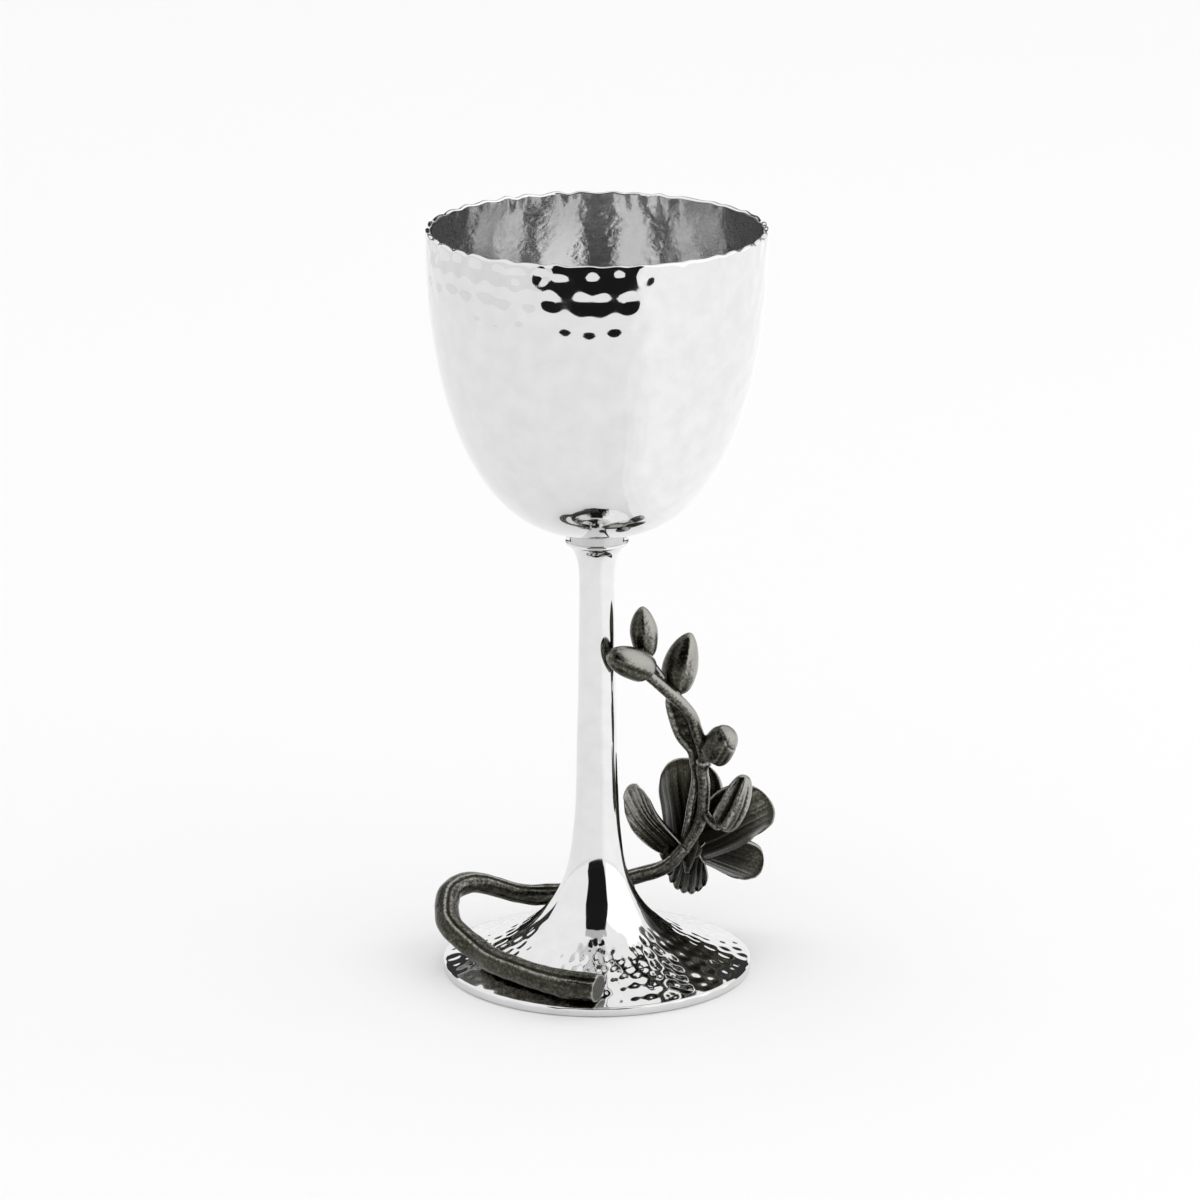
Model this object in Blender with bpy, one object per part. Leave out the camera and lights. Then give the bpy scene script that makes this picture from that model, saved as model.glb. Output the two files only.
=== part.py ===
"""A stemmed kiddush cup with a cast orchid branch wound round its foot.

The cup is a hollow bowl on a spun stem and foot, and the branch is one casting that lies on the
foot, loops behind the stem and climbs beside it. Z is up and the view from the front looks along
+Y. Each piece is drawn round the cup's axis, and all of them hang on one empty, which puts the
origin under the middle of the whole object, in the plane that it stands on. Lengths are in
metres.
"""

import math

import bmesh
import bpy
from mathutils import Vector

# Air gap left between pieces that touch
CONTACT_GAP = 0.0003

# Bowl: a hollow shell whose rim waves up and down
CUP_HEIGHT = 0.178
RIM_RADIUS = 0.0391
BOWL_DEPTH = 0.072
BOWL_WALL = 0.0011
BOWL_SIDE_POWER = 2.545
BOWL_FLOOR_POWER = 2.226
BOWL_SEAT_RADIUS = 0.0068
RIM_ROUNDING = 0.0004
RIM_WAVES = 38
RIM_WAVE_HEIGHT = 0.0003
RIM_WAVE_REACH = 0.0002
RIM_WAVE_FADE = 0.010
RIM_WAVE_STRENGTH = 0.75
RIM_WAVE_UNEVENNESS = 0.25
RIM_WAVE_SWELLS = 3
BOWL_SEGMENTS = 2 * RIM_WAVES
BOWL_OUTER_RINGS = 11
BOWL_INNER_RINGS = 7

# Foot and stem: a trumpet foot, hollow underneath, that rises into a slender stem
FOOT_RADIUS = 0.03624
FOOT_EDGE_HEIGHT = 0.0021
FOOT_EDGE_ROUNDING = 0.0004
FOOT_RING_WIDTH = 0.0022
FOOT_WALL = 0.0016
FOOT_HOLLOW_HEIGHT = 0.017
FOOT_FLARE_HEIGHT = 0.0081
STEM_BASE_RADIUS = 0.00545
STEM_TOP_RADIUS = 0.0039
NECK_RADIUS = 0.0072
NECK_FLARE_HEIGHT = 0.00245
COLLAR_RADIUS = 0.00745
COLLAR_HEIGHT = 0.0008
COLLAR_ROUNDING = 0.0002
SPIGOT_RADIUS = 0.0064
SPIGOT_LENGTH = 0.0017
FOOT_SEGMENTS = 40
FLARE_RINGS = 13
NECK_RINGS = 6
HOLLOW_RINGS = 6
HOLLOW_RING_CROWDING = 1.6
SLOPE_STEP = 0.0001

# Branch: angle round the cup in degrees, reach as a share of the foot's radius, then height above
# lying on the foot and thickness, both as shares of the branch's radius
BRANCH_RADIUS = 0.0031
BRANCH_SIDES = 10
BRANCH_GROOVE = 0.16
BRANCH_ROUTE = (
    (269.5, 0.927, 0.0, 1.00), (257, 0.907, 0.0, 1.05), (247, 0.870, 0.0, 0.97),
    (234, 0.840, 0.0, 0.95), (218, 0.830, 0.0, 0.94), (202, 0.835, 0.16, 0.94),
    (188, 0.950, 1.61, 0.91), (178, 0.980, 2.39, 0.91), (167, 0.993, 3.10, 0.87),
    (156, 0.955, 3.16, 0.87), (147, 0.885, 2.58, 0.82), (134, 0.742, 1.06, 0.78),
    (123, 0.645, 0.35, 0.84), (112, 0.570, 0.16, 0.78), (88, 0.505, 0.32, 0.71),
    (63, 0.525, 1.52, 0.65), (41, 0.590, 3.16, 0.60), (25, 0.643, 5.68, 0.52),
)

# Shoots, buds and flower are drawn in units of a thousandth of a metre from the branch's thin
# end, at a spray height of 62, and grow with SPRAY_HEIGHT
SPRAY_HEIGHT = 0.062
SPRAY_DRAWN_HEIGHT = 62
SHOOT_SIDES = 8
MAIN_SHOOT_RADIUS = 0.00148
MAIN_SHOOT = (
    (0, 0, 0), (3.4, -2.5, 7.6), (4.1, -4, 15.8), (3.6, -4.5, 20.4), (4, -5, 24),
    (2.3, -6.3, 30.3), (0.4, -8, 35.6), (-4.3, -10, 41.1), (-9.4, -12.5, 46.4),
)
SIDE_SHOOT_RADIUS = 0.00095
SIDE_SHOOT = (
    (-3.3, 2, -3.6), (-0.6, 0, 1.4), (1, -1.6, 10.7), (2, -2.8, 18.2), (1.2, -3.4, 24.1),
    (-2.1, -4.4, 29.1), (-4.2, -5.5, 36.8), (-3.1, -6, 40.8),
)

# Buds: the line from the twig through the tip, the share of it that is bare stalk, the bud's
# radius and how blunt the bud is, from 1.5 for pointed to 2.4 for round
BUD_SIDES = 8
BUD_RINGS = 7
STALK_RINGS = 3
BUD_TIP_CLOSING = 0.6
BUD_BELLY_SHIFT = 0.9
BUD_STALK_FADE = 4
PATH_STEPS = 8
TOP_BUD_RADIUS = 0.0031
INNER_BUD_RADIUS = 0.0036
OUTER_BUD_RADIUS = 0.0040
ROUND_BUD_RADIUS = 0.0038
OPEN_BUD_RADIUS = 0.0033
BUD_STALK_RADIUS = 0.0010
BUDS = {
    "top_bud": (
        ((-5.8, -10.3, 44.3), (-9.2, -9.4, 49.5), (-10.3, -9.4, 56.3), (-10.6, -10, 62)),
        0.33, TOP_BUD_RADIUS, 1.6,
    ),
    "inner_bud": (
        ((-8.6, -12.1, 45.7), (-10.4, -13.4, 48), (-14.6, -16.2, 50.6), (-18.6, -18.6, 52.7)),
        0.16, INNER_BUD_RADIUS, 2.0,
    ),
    "outer_bud": (
        ((-3.6, -5.8, 39.6), (-2.6, -6.2, 42.3), (-1, -6.8, 49.1), (0.7, -7.2, 54.8)),
        0.12, OUTER_BUD_RADIUS, 1.6,
    ),
    "round_bud": (
        ((3.8, -4.9, 23), (6.2, -5.2, 24.3), (8, -7.2, 28), (9.7, -9.4, 31.4)),
        0.27, ROUND_BUD_RADIUS, 2.4,
    ),
    "open_bud": (
        ((3.4, -3, 10.6), (7.2, -5, 6.6), (10.6, -6.6, 11.4), (13.8, -7.6, 20)),
        0.42, OPEN_BUD_RADIUS, 2.2,
    ),
}

# Flower: it faces away from the front, and each petal has a midrib, a half width, how far its
# sides curl, how many ridges run along it and how high they stand as a share of the highest
FLOWER_FACING = (0.25, 0.85, 0.45)
FLOWER_CENTRE = (1.4, 2.8, -1.4)
FLOWER_HEART_RADIUS = 0.0032
LIP_CENTRE = (-3.7, 4.5, -3.2)
LIP_RADIUS = 0.0026
PETAL_THICKNESS = 0.0012
PETAL_RIDGE_HEIGHT = 0.0005
PETAL_EDGE_THINNING = 0.4
PETAL_BASE_WIDTH = 0.8
PETAL_WIDENING = 0.35
PETAL_SLOPE_STEP = 0.05
PETAL_ROWS = 7
PETAL_COLUMNS = 7
UPPER_PETAL_HALF_WIDTH = 0.0086
SIDE_PETAL_HALF_WIDTH = 0.0074
LOWER_PETAL_HALF_WIDTH = 0.0076
LEFT_SEPAL_HALF_WIDTH = 0.0042
BOTTOM_SEPAL_HALF_WIDTH = 0.0050
PETALS = {
    "upper_petal": (
        ((0.6, 2, -3), (-0.1, 5.5, 5.4), (-1, 9, 12), (-1.5, 12.5, 17.6)),
        UPPER_PETAL_HALF_WIDTH, 0.35, 3, 0.4,
    ),
    "side_petal": (
        ((-0.4, 2.2, -2.4), (8, 3, 1), (15.5, 5, 4.6), (21.3, 8, 7.4)),
        SIDE_PETAL_HALF_WIDTH, 0.40, 3, 0.4,
    ),
    "lower_petal": (
        ((0.2, 3, -1.8), (6.6, 8, -6), (12.2, 12, -9.6), (16.6, 15, -12.4)),
        LOWER_PETAL_HALF_WIDTH, 0.30, 3, 0.6,
    ),
    "left_sepal": (
        ((1.4, 2.4, -4), (-3.6, 3, 0.8), (-9.2, 3.5, 6.8), (-13, 4, 14.2)),
        LEFT_SEPAL_HALF_WIDTH, -0.55, 2, 1.0,
    ),
    "bottom_sepal": (
        ((1.2, 1.6, -1), (0.6, 6, -7.5), (0.2, 10, -11.9), (-0.3, 13.6, -15.6)),
        BOTTOM_SEPAL_HALF_WIDTH, 0.30, 4, 1.0,
    ),
}

POLISHED_METAL = ((0.86, 0.86, 0.87), 0.06)
DARK_METAL = ((0.085, 0.083, 0.070), 0.45)
SHARP_ANGLE = math.radians(40)


def clear_scene():
    for thing in list(bpy.data.objects):
        bpy.data.objects.remove(thing, do_unlink=True)


def metal(name, look):
    colour, roughness = look
    material = bpy.data.materials.new(name)
    material.use_nodes = True
    shader = material.node_tree.nodes["Principled BSDF"]
    shader.inputs["Base Color"].default_value = (*colour, 1.0)
    shader.inputs["Metallic"].default_value = 1.0
    shader.inputs["Roughness"].default_value = roughness
    return material


def finish_mesh(name, shape, look):
    """Turn a bmesh into a smooth-shaded object with outward faces."""
    bmesh.ops.recalc_face_normals(shape, faces=shape.faces)
    mesh = bpy.data.meshes.new(name)
    shape.to_mesh(mesh)
    shape.free()
    mesh.shade_smooth()
    mesh.set_sharp_from_angle(angle=SHARP_ANGLE)
    mesh.materials.append(metal(name, look))
    thing = bpy.data.objects.new(name, mesh)
    bpy.context.scene.collection.objects.link(thing)
    return thing


def skin_rings(rings):
    """Close a run of equal rings of points into one body with a flat face at each end."""
    shape = bmesh.new()
    loops = [[shape.verts.new(point) for point in ring] for ring in rings]
    count = len(loops[0])
    for low, high in zip(loops, loops[1:]):
        for i in range(count):
            j = (i + 1) % count
            shape.faces.new((low[i], low[j], high[j], high[i]))
    shape.faces.new(loops[0])
    shape.faces.new(reversed(loops[-1]))
    return shape


def round_ring(radius, height, segments):
    angles = [2 * math.pi * i / segments for i in range(segments)]
    return [Vector((radius * math.cos(a), radius * math.sin(a), height)) for a in angles]


def bowl_curve(share, wall):
    """Radius and height on the bowl, from its floor at share 0 to its rim at share 1.

    A wall of 0 gives the outside and the bowl's wall gives the inside.
    """
    angle = share * math.pi / 2
    radius = (RIM_RADIUS - wall) * math.sin(angle) ** (2 / BOWL_SIDE_POWER)
    drop = (BOWL_DEPTH - wall) * max(math.cos(angle), 0.0) ** (2 / BOWL_FLOOR_POWER)
    return radius, CUP_HEIGHT - drop


def bowl_start(wall):
    """Share at which the bowl's curve leaves its flat floor."""
    sine = (BOWL_SEAT_RADIUS / (RIM_RADIUS - wall)) ** (BOWL_SIDE_POWER / 2)
    return math.asin(sine) * 2 / math.pi


def bowl_side(rings, wall):
    start = bowl_start(wall)
    return [bowl_curve(start + (1 - start) * i / rings, wall) for i in range(rings)]


def rim_wave(point):
    """Shift a point near the rim by the hammered wave, which dies out below it."""
    fade = max(0.0, 1 - (CUP_HEIGHT - point.z) / RIM_WAVE_FADE)
    angle = math.atan2(point.y, point.x)
    strength = RIM_WAVE_STRENGTH + RIM_WAVE_UNEVENNESS * math.cos(RIM_WAVE_SWELLS * angle + 1)
    swing = strength * math.cos(RIM_WAVES * angle)
    outward = Vector((math.cos(angle), math.sin(angle), 0))
    return point + fade * swing * (outward * RIM_WAVE_REACH + Vector((0, 0, RIM_WAVE_HEIGHT)))


def make_bowl():
    inner_radius = RIM_RADIUS - BOWL_WALL
    profile = bowl_side(BOWL_OUTER_RINGS, 0.0)
    profile += [
        (RIM_RADIUS, CUP_HEIGHT - RIM_ROUNDING),
        (RIM_RADIUS - RIM_ROUNDING, CUP_HEIGHT),
        (inner_radius + RIM_ROUNDING, CUP_HEIGHT),
        (inner_radius, CUP_HEIGHT - RIM_ROUNDING),
    ]
    profile += reversed(bowl_side(BOWL_INNER_RINGS, BOWL_WALL))
    rings = [
        [rim_wave(point) for point in round_ring(radius, height, BOWL_SEGMENTS)]
        for radius, height in profile
    ]
    return finish_mesh("bowl", skin_rings(rings), POLISHED_METAL)


def spigot_top():
    """Height of the stem's flat top, just under the bowl's seat."""
    return bowl_curve(bowl_start(0.0), 0.0)[1] - CONTACT_GAP


def collar_bottom():
    return spigot_top() - SPIGOT_LENGTH - COLLAR_HEIGHT


def stem_radius(height):
    """Outer radius of the foot and stem: a taper with a flare at each end."""
    top = collar_bottom()
    taper = STEM_BASE_RADIUS + (STEM_TOP_RADIUS - STEM_BASE_RADIUS) * height / top
    foot_fade = math.exp((FOOT_EDGE_HEIGHT - height) / FOOT_FLARE_HEIGHT)
    neck_fade = math.exp((height - top) / NECK_FLARE_HEIGHT)
    foot = (FOOT_RADIUS - STEM_BASE_RADIUS) * foot_fade
    return taper + foot + (NECK_RADIUS - STEM_TOP_RADIUS) * neck_fade


def stem_slope(height):
    """How fast the radius grows with height."""
    growth = stem_radius(height + SLOPE_STEP) - stem_radius(height - SLOPE_STEP)
    return growth / (2 * SLOPE_STEP)


def foot_hollow():
    """Underside of the foot: the outer surface moved in by the wall, from the top down."""
    low = FOOT_EDGE_HEIGHT + FOOT_EDGE_ROUNDING
    points = []
    for i in range(HOLLOW_RINGS):
        climb = (1 - i / (HOLLOW_RINGS - 1)) ** HOLLOW_RING_CROWDING
        height = low + (FOOT_HOLLOW_HEIGHT - low) * climb
        slope = stem_slope(height)
        normal = Vector((1, -slope)).normalized()
        points.append((stem_radius(height) - FOOT_WALL * normal.x, height - FOOT_WALL * normal.y))
    return points


def make_stem_foot():
    top = collar_bottom()
    waist = top / 2
    profile = [
        (FOOT_RADIUS - FOOT_RING_WIDTH, 0.0),
        (FOOT_RADIUS - FOOT_EDGE_ROUNDING, 0.0),
        (FOOT_RADIUS, FOOT_EDGE_ROUNDING),
        (FOOT_RADIUS, FOOT_EDGE_HEIGHT - FOOT_EDGE_ROUNDING),
    ]
    for i in range(1, FLARE_RINGS + 1):
        height = FOOT_EDGE_HEIGHT + (waist - FOOT_EDGE_HEIGHT) * (i / FLARE_RINGS) ** 2
        profile.append((stem_radius(height), height))
    for i in range(NECK_RINGS - 1, -1, -1):
        height = top - (top - waist) * (i / NECK_RINGS) ** 2
        profile.append((stem_radius(height), height))
    collar_top = top + COLLAR_HEIGHT
    profile += [
        (COLLAR_RADIUS - COLLAR_ROUNDING, top),
        (COLLAR_RADIUS, top + COLLAR_ROUNDING),
        (COLLAR_RADIUS, collar_top - COLLAR_ROUNDING),
        (COLLAR_RADIUS - COLLAR_ROUNDING, collar_top),
        (SPIGOT_RADIUS, collar_top),
        (SPIGOT_RADIUS, spigot_top()),
    ]
    profile = foot_hollow() + profile
    rings = [round_ring(radius, height, FOOT_SEGMENTS) for radius, height in profile]
    return finish_mesh("stem_foot", skin_rings(rings), POLISHED_METAL)


def foot_height_at(radius):
    """Height of the foot's flare at a given radius, ignoring the stem's slight taper."""
    reach = (radius - STEM_BASE_RADIUS) / (FOOT_RADIUS - STEM_BASE_RADIUS)
    return FOOT_EDGE_HEIGHT - FOOT_FLARE_HEIGHT * math.log(reach)


def on_foot(angle, reach, lift, thickness):
    """Centre and radius of the branch where it lies on the foot, or lifts off it."""
    radius = reach * FOOT_RADIUS
    turn = math.radians(angle)
    slope = FOOT_FLARE_HEIGHT / (radius - STEM_BASE_RADIUS)
    rest = (BRANCH_RADIUS * thickness + CONTACT_GAP) * math.hypot(1, slope)
    height = foot_height_at(radius) + rest + lift * BRANCH_RADIUS
    where = (radius * math.cos(turn), radius * math.sin(turn), height)
    return Vector((*where, BRANCH_RADIUS * thickness))


def spline(points, steps):
    """Smooth curve through all the points, with the given number of steps in each span."""
    padded = [2 * points[0] - points[1], *points, 2 * points[-1] - points[-2]]
    curve = []
    for before, start, end, after in zip(padded, padded[1:], padded[2:], padded[3:]):
        for i in range(steps):
            t = i / steps
            bend = 2 * before - 5 * start + 4 * end - after
            twist = 3 * start - before - 3 * end + after
            curve.append(start + 0.5 * t * ((end - before) + t * bend + t * t * twist))
    curve.append(points[-1])
    return curve


def tube_rings(path, sides, groove=0.0):
    """Rings of points round a path of (x, y, z, radius), with an optional groove on top."""
    centres = [point.xyz for point in path]
    rings = []
    across = None
    for i, centre in enumerate(centres):
        ahead = centres[min(i + 1, len(centres) - 1)] - centres[max(i - 1, 0)]
        ahead.normalize()
        if across is None:
            across = ahead.cross(Vector((0, 0, 1)))
        across = (across - across.dot(ahead) * ahead).normalized()
        upward = across.cross(ahead)
        ring = []
        for k in range(sides):
            turn = 2 * math.pi * k / sides
            reach = path[i].w * (1 - groove * (k == 1))
            ring.append(centre + reach * (math.cos(turn) * across + math.sin(turn) * upward))
        rings.append(ring)
    return rings


def in_spray(root, place):
    """A drawn point of the spray in the cup's frame."""
    return root + Vector(place) * (SPRAY_HEIGHT / SPRAY_DRAWN_HEIGHT)


def shoot_path(root, places, radius, steps):
    points = [Vector((*in_spray(root, place), radius)) for place in places]
    return spline(points, steps)


def along(path, share):
    """Point at a share of the way along a path, counted by its points."""
    position = share * (len(path) - 1)
    low = min(int(position), len(path) - 2)
    return path[low].lerp(path[low + 1], position - low)


def bud_rings(root, places, stalk_share, radius, bluntness):
    """A bare stalk that swells into a bud and closes at its tip."""
    path = spline([in_spray(root, place) for place in places], PATH_STEPS)
    rings = [(stalk_share * i / STALK_RINGS, BUD_STALK_RADIUS) for i in range(STALK_RINGS)]
    for i in range(1, BUD_RINGS + 1):
        share = (1 - math.cos(math.pi * i / (BUD_RINGS + BUD_TIP_CLOSING))) / 2
        swell = (1 - abs(2 * share ** BUD_BELLY_SHIFT - 1) ** bluntness) ** (1 / bluntness)
        waist = BUD_STALK_RADIUS * (1 - share) ** BUD_STALK_FADE
        rings.append((stalk_share + (1 - stalk_share) * share, radius * swell + waist))
    return tube_rings([Vector((*along(path, share), size)) for share, size in rings], BUD_SIDES)


def petal_shape(root, places, half_width, curl, ridges, ridge_share):
    """A thick curved petal with a rounded outline, narrower towards the flower's heart."""
    path = spline([in_spray(root, place) for place in places], PATH_STEPS)
    facing = Vector(FLOWER_FACING).normalized()
    sheets = ([], [])
    for row in range(PETAL_ROWS):
        for column in range(PETAL_COLUMNS):
            a = 2 * row / (PETAL_ROWS - 1) - 1
            b = 2 * column / (PETAL_COLUMNS - 1) - 1
            length_share = (a * math.sqrt(1 - b * b / 2) + 1) / 2
            side_share = b * math.sqrt(1 - a * a / 2)
            centre = along(path, length_share)
            beyond = along(path, length_share + PETAL_SLOPE_STEP)
            ahead = (beyond - along(path, length_share - PETAL_SLOPE_STEP)).normalized()
            normal = (facing - facing.dot(ahead) * ahead).normalized()
            across = ahead.cross(normal)
            width = half_width * (PETAL_BASE_WIDTH + PETAL_WIDENING * length_share)
            dish = curl * width * side_share ** 2
            wave = math.cos(2 * math.pi * ridges * side_share)
            ridge = PETAL_RIDGE_HEIGHT * ridge_share * wave
            middle = centre + across * width * side_share + normal * (dish + ridge)
            half = PETAL_THICKNESS / 2 * (1 - PETAL_EDGE_THINNING * max(abs(a), abs(b)) ** 2)
            sheets[0].append(middle + normal * half)
            sheets[1].append(middle - normal * half)
    return sheet_body(sheets)


def sheet_body(sheets):
    """Join two matching grids of points round their edges into one closed body."""
    shape = bmesh.new()
    front, back = [[shape.verts.new(point) for point in sheet] for sheet in sheets]
    columns = PETAL_COLUMNS
    for row in range(PETAL_ROWS - 1):
        for column in range(columns - 1):
            i = row * columns + column
            corners = (i, i + 1, i + columns + 1, i + columns)
            shape.faces.new([front[k] for k in corners])
            shape.faces.new([back[k] for k in reversed(corners)])
    last = (PETAL_ROWS - 1) * columns
    edge = list(range(columns))
    edge += [row * columns + columns - 1 for row in range(1, PETAL_ROWS)]
    edge += [last + column for column in range(columns - 2, -1, -1)]
    edge += [row * columns for row in range(PETAL_ROWS - 2, 0, -1)]
    for i, j in zip(edge, edge[1:] + edge[:1]):
        shape.faces.new((front[i], back[i], back[j], front[j]))
    return shape


def ball(centre, radius):
    shape = bmesh.new()
    bmesh.ops.create_icosphere(shape, subdivisions=2, radius=radius)
    bmesh.ops.translate(shape, verts=shape.verts, vec=centre)
    return shape


def fuse(base, other):
    """Join another body into the base and keep it only as a hidden guide."""
    other.hide_render = True
    other.display_type = "WIRE"
    union = base.modifiers.new(other.name, "BOOLEAN")
    union.operation = "UNION"
    union.solver = "EXACT"
    union.object = other


def make_orchid_branch():
    route = spline([on_foot(*stop) for stop in BRANCH_ROUTE], 2)
    branch = finish_mesh(
        "orchid_branch", skin_rings(tube_rings(route, BRANCH_SIDES, BRANCH_GROOVE)), DARK_METAL
    )
    root = route[-1].xyz
    shapes = {
        "main_shoot": skin_rings(
            tube_rings(shoot_path(root, MAIN_SHOOT, MAIN_SHOOT_RADIUS, 2), SHOOT_SIDES)
        ),
        "side_shoot": skin_rings(
            tube_rings(shoot_path(root, SIDE_SHOOT, SIDE_SHOOT_RADIUS, 2), SHOOT_SIDES)
        ),
        "flower_heart": ball(in_spray(root, FLOWER_CENTRE), FLOWER_HEART_RADIUS),
        "flower_lip": ball(in_spray(root, LIP_CENTRE), LIP_RADIUS),
    }
    for name, bud in BUDS.items():
        shapes[name] = skin_rings(bud_rings(root, *bud))
    for name, petal in PETALS.items():
        shapes[name] = petal_shape(root, *petal)
    for name, shape in shapes.items():
        fuse(branch, finish_mesh(name, shape, DARK_METAL))
    return branch


def hang_on_centre():
    """Hang every piece on an empty, with the origin midway between their outermost points."""
    pieces = [thing for thing in bpy.data.objects if thing.type == "MESH"]
    points = [vertex.co for piece in pieces for vertex in piece.data.vertices]
    centre = bpy.data.objects.new("cup_axis", None)
    bpy.context.scene.collection.objects.link(centre)
    for axis in (0, 1):
        sides = [point[axis] for point in points]
        centre.location[axis] = -(min(sides) + max(sides)) / 2
    for piece in pieces:
        piece.parent = centre


clear_scene()
make_bowl()
make_stem_foot()
make_orchid_branch()
hang_on_centre()
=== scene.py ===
"""The look of a stemmed kiddush cup with a cast orchid branch wound round its foot.

Three pieces stand for the three solids of the frame: a hammered bowl, a hammered foot and stem,
and the dark branch with its shoots and buds. The flower is a fourth piece, cast in one with the
branch. Everything is drawn round the cup's axis in metres and then set on that axis.
"""

import math

import bmesh
import bpy
import numpy as np
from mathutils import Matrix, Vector, noise


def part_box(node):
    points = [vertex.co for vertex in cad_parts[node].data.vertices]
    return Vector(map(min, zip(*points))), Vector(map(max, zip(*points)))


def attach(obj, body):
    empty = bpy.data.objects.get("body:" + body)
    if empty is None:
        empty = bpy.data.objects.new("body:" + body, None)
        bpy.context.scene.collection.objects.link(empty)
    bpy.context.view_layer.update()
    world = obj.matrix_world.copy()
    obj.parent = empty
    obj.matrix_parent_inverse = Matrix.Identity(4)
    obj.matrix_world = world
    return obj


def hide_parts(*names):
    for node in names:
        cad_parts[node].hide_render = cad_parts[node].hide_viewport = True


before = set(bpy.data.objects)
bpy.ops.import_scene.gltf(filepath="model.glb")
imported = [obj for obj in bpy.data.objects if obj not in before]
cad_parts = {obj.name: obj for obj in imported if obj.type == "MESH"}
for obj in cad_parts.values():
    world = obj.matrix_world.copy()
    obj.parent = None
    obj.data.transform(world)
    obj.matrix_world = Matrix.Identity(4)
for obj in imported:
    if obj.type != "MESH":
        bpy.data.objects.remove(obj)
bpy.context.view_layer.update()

UP = np.array((0.0, 0.0, 1.0))
CONTACT_GAP = 0.0003
BLACK = (0.0, 0.0, 0.0)

# Bowl, as in the solid
CUP_HEIGHT = 0.178
RIM_RADIUS = 0.0391
BOWL_DEPTH = 0.072
BOWL_WALL = 0.0011
BOWL_SIDE_POWER = 2.545
BOWL_FLOOR_POWER = 2.226
BOWL_SEAT_RADIUS = 0.0068
RIM_ROUNDING = 0.0004
LIP_STEPS = 5
BOWL_INSIDE_START = 0.002
BOWL_CURVE_STEPS = 4000

# Waves of the rim: they fade out below it, swell and shrink round it and drift off even spacing
RIM_WAVES = 38
RIM_WAVE_HEIGHT = 0.00033
RIM_WAVE_REACH = 0.00017
RIM_WAVE_FADE = 0.0045
RIM_WAVE_STRENGTH = 0.55
RIM_WAVE_UNEVENNESS = 0.3
RIM_WAVE_SWELLS = 3
RIM_WAVE_WANDER = 0.7
RIM_WANDER_SIZE = 0.16
RIM_WAVE_DRIFT = 2.2
RIM_DRIFT_SIZE = 0.22

# Hammer marks on the bowl, deepest under the rim and shallow towards the stem
BOWL_SEGMENTS = 420
BOWL_ROW_SPACING = 0.0008
BOWL_MARKS = 42
BOWL_MARK_HEIGHT = 0.0052
BOWL_MARK_START = 0.0015
BOWL_MARK_TURN = 0.033
BOWL_MARK_DEPTH = 0.00025
BOWL_MARK_REACH = 0.023
BOWL_MARK_LEAST = 0.05
BOWL_MARK_DEPTH_INSIDE = 0.00006
BOWL_MARK_LEAST_INSIDE = 0.6
BOWL_RIPPLE_INSIDE = 0.000012
BOWL_RIPPLE_SIZE = 0.0019
BOWL_MARK_UNEVENNESS = 0.19
BOWL_MARK_LEVEL = 0.6
MARK_SHARPNESS = 9.0

# Foot and stem, as in the solid
FOOT_RADIUS = 0.03624
FOOT_EDGE_HEIGHT = 0.0021
FOOT_EDGE_ROUNDING = 0.0004
FOOT_RING_WIDTH = 0.0022
FOOT_WALL = 0.0016
FOOT_HOLLOW_HEIGHT = 0.017
FOOT_FLARE_HEIGHT = 0.0081
STEM_BASE_RADIUS = 0.00545
STEM_TOP_RADIUS = 0.0039
NECK_RADIUS = 0.0072
NECK_FLARE_HEIGHT = 0.00245
COLLAR_RADIUS = 0.00745
COLLAR_HEIGHT = 0.0008
COLLAR_ROUNDING = 0.0002
SPIGOT_RADIUS = 0.0064
SPIGOT_LENGTH = 0.0017
SLOPE_STEP = 0.0001
FOOT_SEGMENTS = 400
FOOT_ROW_SPACING = 0.00075
FOOT_CURVE_STEPS = 6000
FOOT_HOLLOW_ROWS = 14
FOOT_HOLLOW_CROWDING = 1.6

# Dents in the foot's edge, hammer marks on its disc and a faint ripple up the stem
FOOT_EDGE_MARKS = 31
FOOT_EDGE_MARK_STRENGTH = 0.6
FOOT_EDGE_MARK_PATCH = 0.3
FOOT_EDGE_LIFT = 0.8
FOOT_EDGE_REACH = 0.4
FOOT_MARKS = 46
FOOT_MARK_HEIGHT = 0.0038
FOOT_MARK_DEPTH = 0.00021
FOOT_MARK_UNEVENNESS = 0.22
FOOT_MARK_LEVEL = 0.5
FOOT_MARKS_START_RADIUS = 0.013
FOOT_MARKS_FADE = 0.007
FOOT_MARKS_EDGE_FADE = 0.0012
STEM_RIPPLE = 0.00009
STEM_RIPPLE_HEIGHT = 0.009
STEM_RIPPLE_TURNS = 1.3
STEM_RIPPLE_LOW_FADE = 0.003
STEM_RIPPLE_HIGH_FADE = 0.004

# Branch, as in the solid: angle round the cup in degrees, reach as a share of the foot's radius,
# then height above lying on the foot and thickness, both as shares of the branch's radius
BRANCH_RADIUS = 0.0031
BRANCH_ROUTE = (
    (269.5, 0.927, 0.0, 1.00), (257, 0.907, 0.0, 1.05), (247, 0.870, 0.0, 0.97),
    (234, 0.840, 0.0, 0.95), (218, 0.830, 0.0, 0.94), (202, 0.835, 0.16, 0.94),
    (188, 0.950, 1.61, 0.91), (178, 0.980, 2.39, 0.91), (167, 0.993, 3.10, 0.87),
    (156, 0.955, 3.16, 0.87), (147, 0.885, 2.58, 0.82), (134, 0.742, 1.06, 0.78),
    (123, 0.645, 0.35, 0.84), (112, 0.570, 0.16, 0.78), (88, 0.505, 0.32, 0.71),
    (63, 0.525, 1.52, 0.65), (41, 0.590, 3.16, 0.60), (25, 0.643, 5.68, 0.52),
)

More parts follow.
